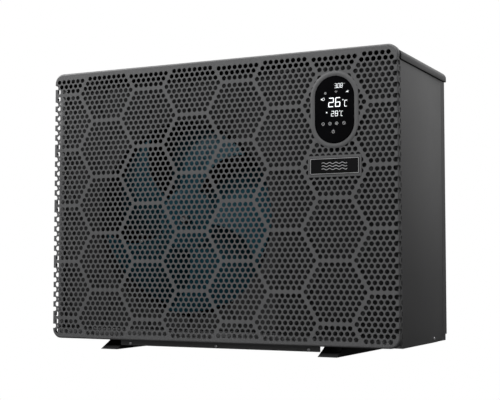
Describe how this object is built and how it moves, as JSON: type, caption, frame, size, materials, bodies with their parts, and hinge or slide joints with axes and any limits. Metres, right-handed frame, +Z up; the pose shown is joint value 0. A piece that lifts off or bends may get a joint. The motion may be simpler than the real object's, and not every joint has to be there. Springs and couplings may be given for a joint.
{
  "type": "pool heat pump",
  "caption": "Side-discharge pool heat pump: perforated front cover, fan bay, machine bay, water unions on the back, on two runners.",
  "frame": {"origin": "middle of the bounding box in X and Y, on the ground under the runners", "axes": "+X along the front to the display side, +Y from the front cover to the back, +Z up"},
  "size_m": [0.966, 0.426, 0.724],
  "materials": {
    "painted_sheet": "fine textured satin",
    "inner_sheet": "satin grey",
    "galvanised": "satin",
    "black_steel": "satin",
    "black_glass": "glossy",
    "badge_black": "glossy",
    "black_plastic": "matte",
    "grey_plastic": "matte",
    "fan_plastic": "satin",
    "circuit_board": "satin",
    "copper": "satin",
    "brass": "satin",
    "aluminium": "satin",
    "bright_steel": "satin",
    "titanium": "satin",
    "rubber": "matte"
  },
  "bodies": {
    "cabinet": {"front_cover": "painted_sheet", "display_bezel": "painted_sheet", "display_glass": "black_glass", "display_housing": "black_plastic", "display_board": "circuit_board", "badge_backing": "painted_sheet", "badge_plate": "badge_black", "top_cover": "painted_sheet", "right_side_panel": "painted_sheet", "left_front_post": "painted_sheet", "left_rear_post": "painted_sheet", "rear_panel": "painted_sheet", "rear_guard": "black_steel", "left_guard": "black_steel", "base_pan": "painted_sheet", "base_rail": "painted_sheet", "left_runner": "black_steel", "right_runner": "black_steel", "air_ring_panel": "inner_sheet", "bay_front_panel": "inner_sheet", "partition_panel": "galvanised", "fan_motor": "black_steel", "motor_bracket": "galvanised", "coil_fins": "aluminium", "coil_bends": "copper", "coil_end_plate": "galvanised", "compressor": "black_steel", "compressor_grommets": "rubber", "compressor_cap": "black_plastic", "accumulator": "black_steel", "suction_pipe": "copper", "discharge_pipe": "copper", "liquid_pipe": "copper", "reversing_valve": "brass", "reversing_coil": "black_plastic", "expansion_valve": "brass", "heat_exchanger_shell": "grey_plastic", "heat_exchanger_coil": "titanium", "inlet_stub": "black_plastic", "outlet_stub": "black_plastic", "inlet_oring": "rubber", "outlet_oring": "rubber", "inlet_tailpiece": "grey_plastic", "outlet_tailpiece": "grey_plastic", "flow_switch": "black_plastic", "control_box": "galvanised", "control_board": "circuit_board", "heat_sink": "aluminium", "choke": "black_plastic", "cable_gland": "black_plastic", "drain_spigot": "black_plastic", "cabinet_screws": "bright_steel", "rail_screws": "bright_steel", "motor_screws": "bright_steel"},
    "fan": {"fan_rotor": "fan_plastic", "fan_nut": "black_steel", "motor_shaft": "bright_steel"},
    "inlet_union": {"inlet_nut": "black_plastic"},
    "outlet_union": {"outlet_nut": "black_plastic"},
    "paddle": {"flow_paddle": "bright_steel"}
  },
  "joints": [
    {"name": "fan_spin", "type": "hinge", "parent": "cabinet", "child": "fan", "pos_m": [-0.102, -0.133, 0.33], "axis": [0, -1, 0], "continuous": true},
    {"name": "inlet_nut_turn", "type": "hinge", "parent": "cabinet", "child": "inlet_union", "pos_m": [0.392, 0.184, 0.15], "axis": [0, 1, 0], "continuous": true},
    {"name": "outlet_nut_turn", "type": "hinge", "parent": "cabinet", "child": "outlet_union", "pos_m": [0.392, 0.184, 0.41], "axis": [0, 1, 0], "continuous": true},
    {"name": "paddle_swing", "type": "hinge", "parent": "cabinet", "child": "paddle", "pos_m": [0.392, 0.141, 0.177], "axis": [1, 0, 0], "range_deg": [-25, 0]}
  ]
}
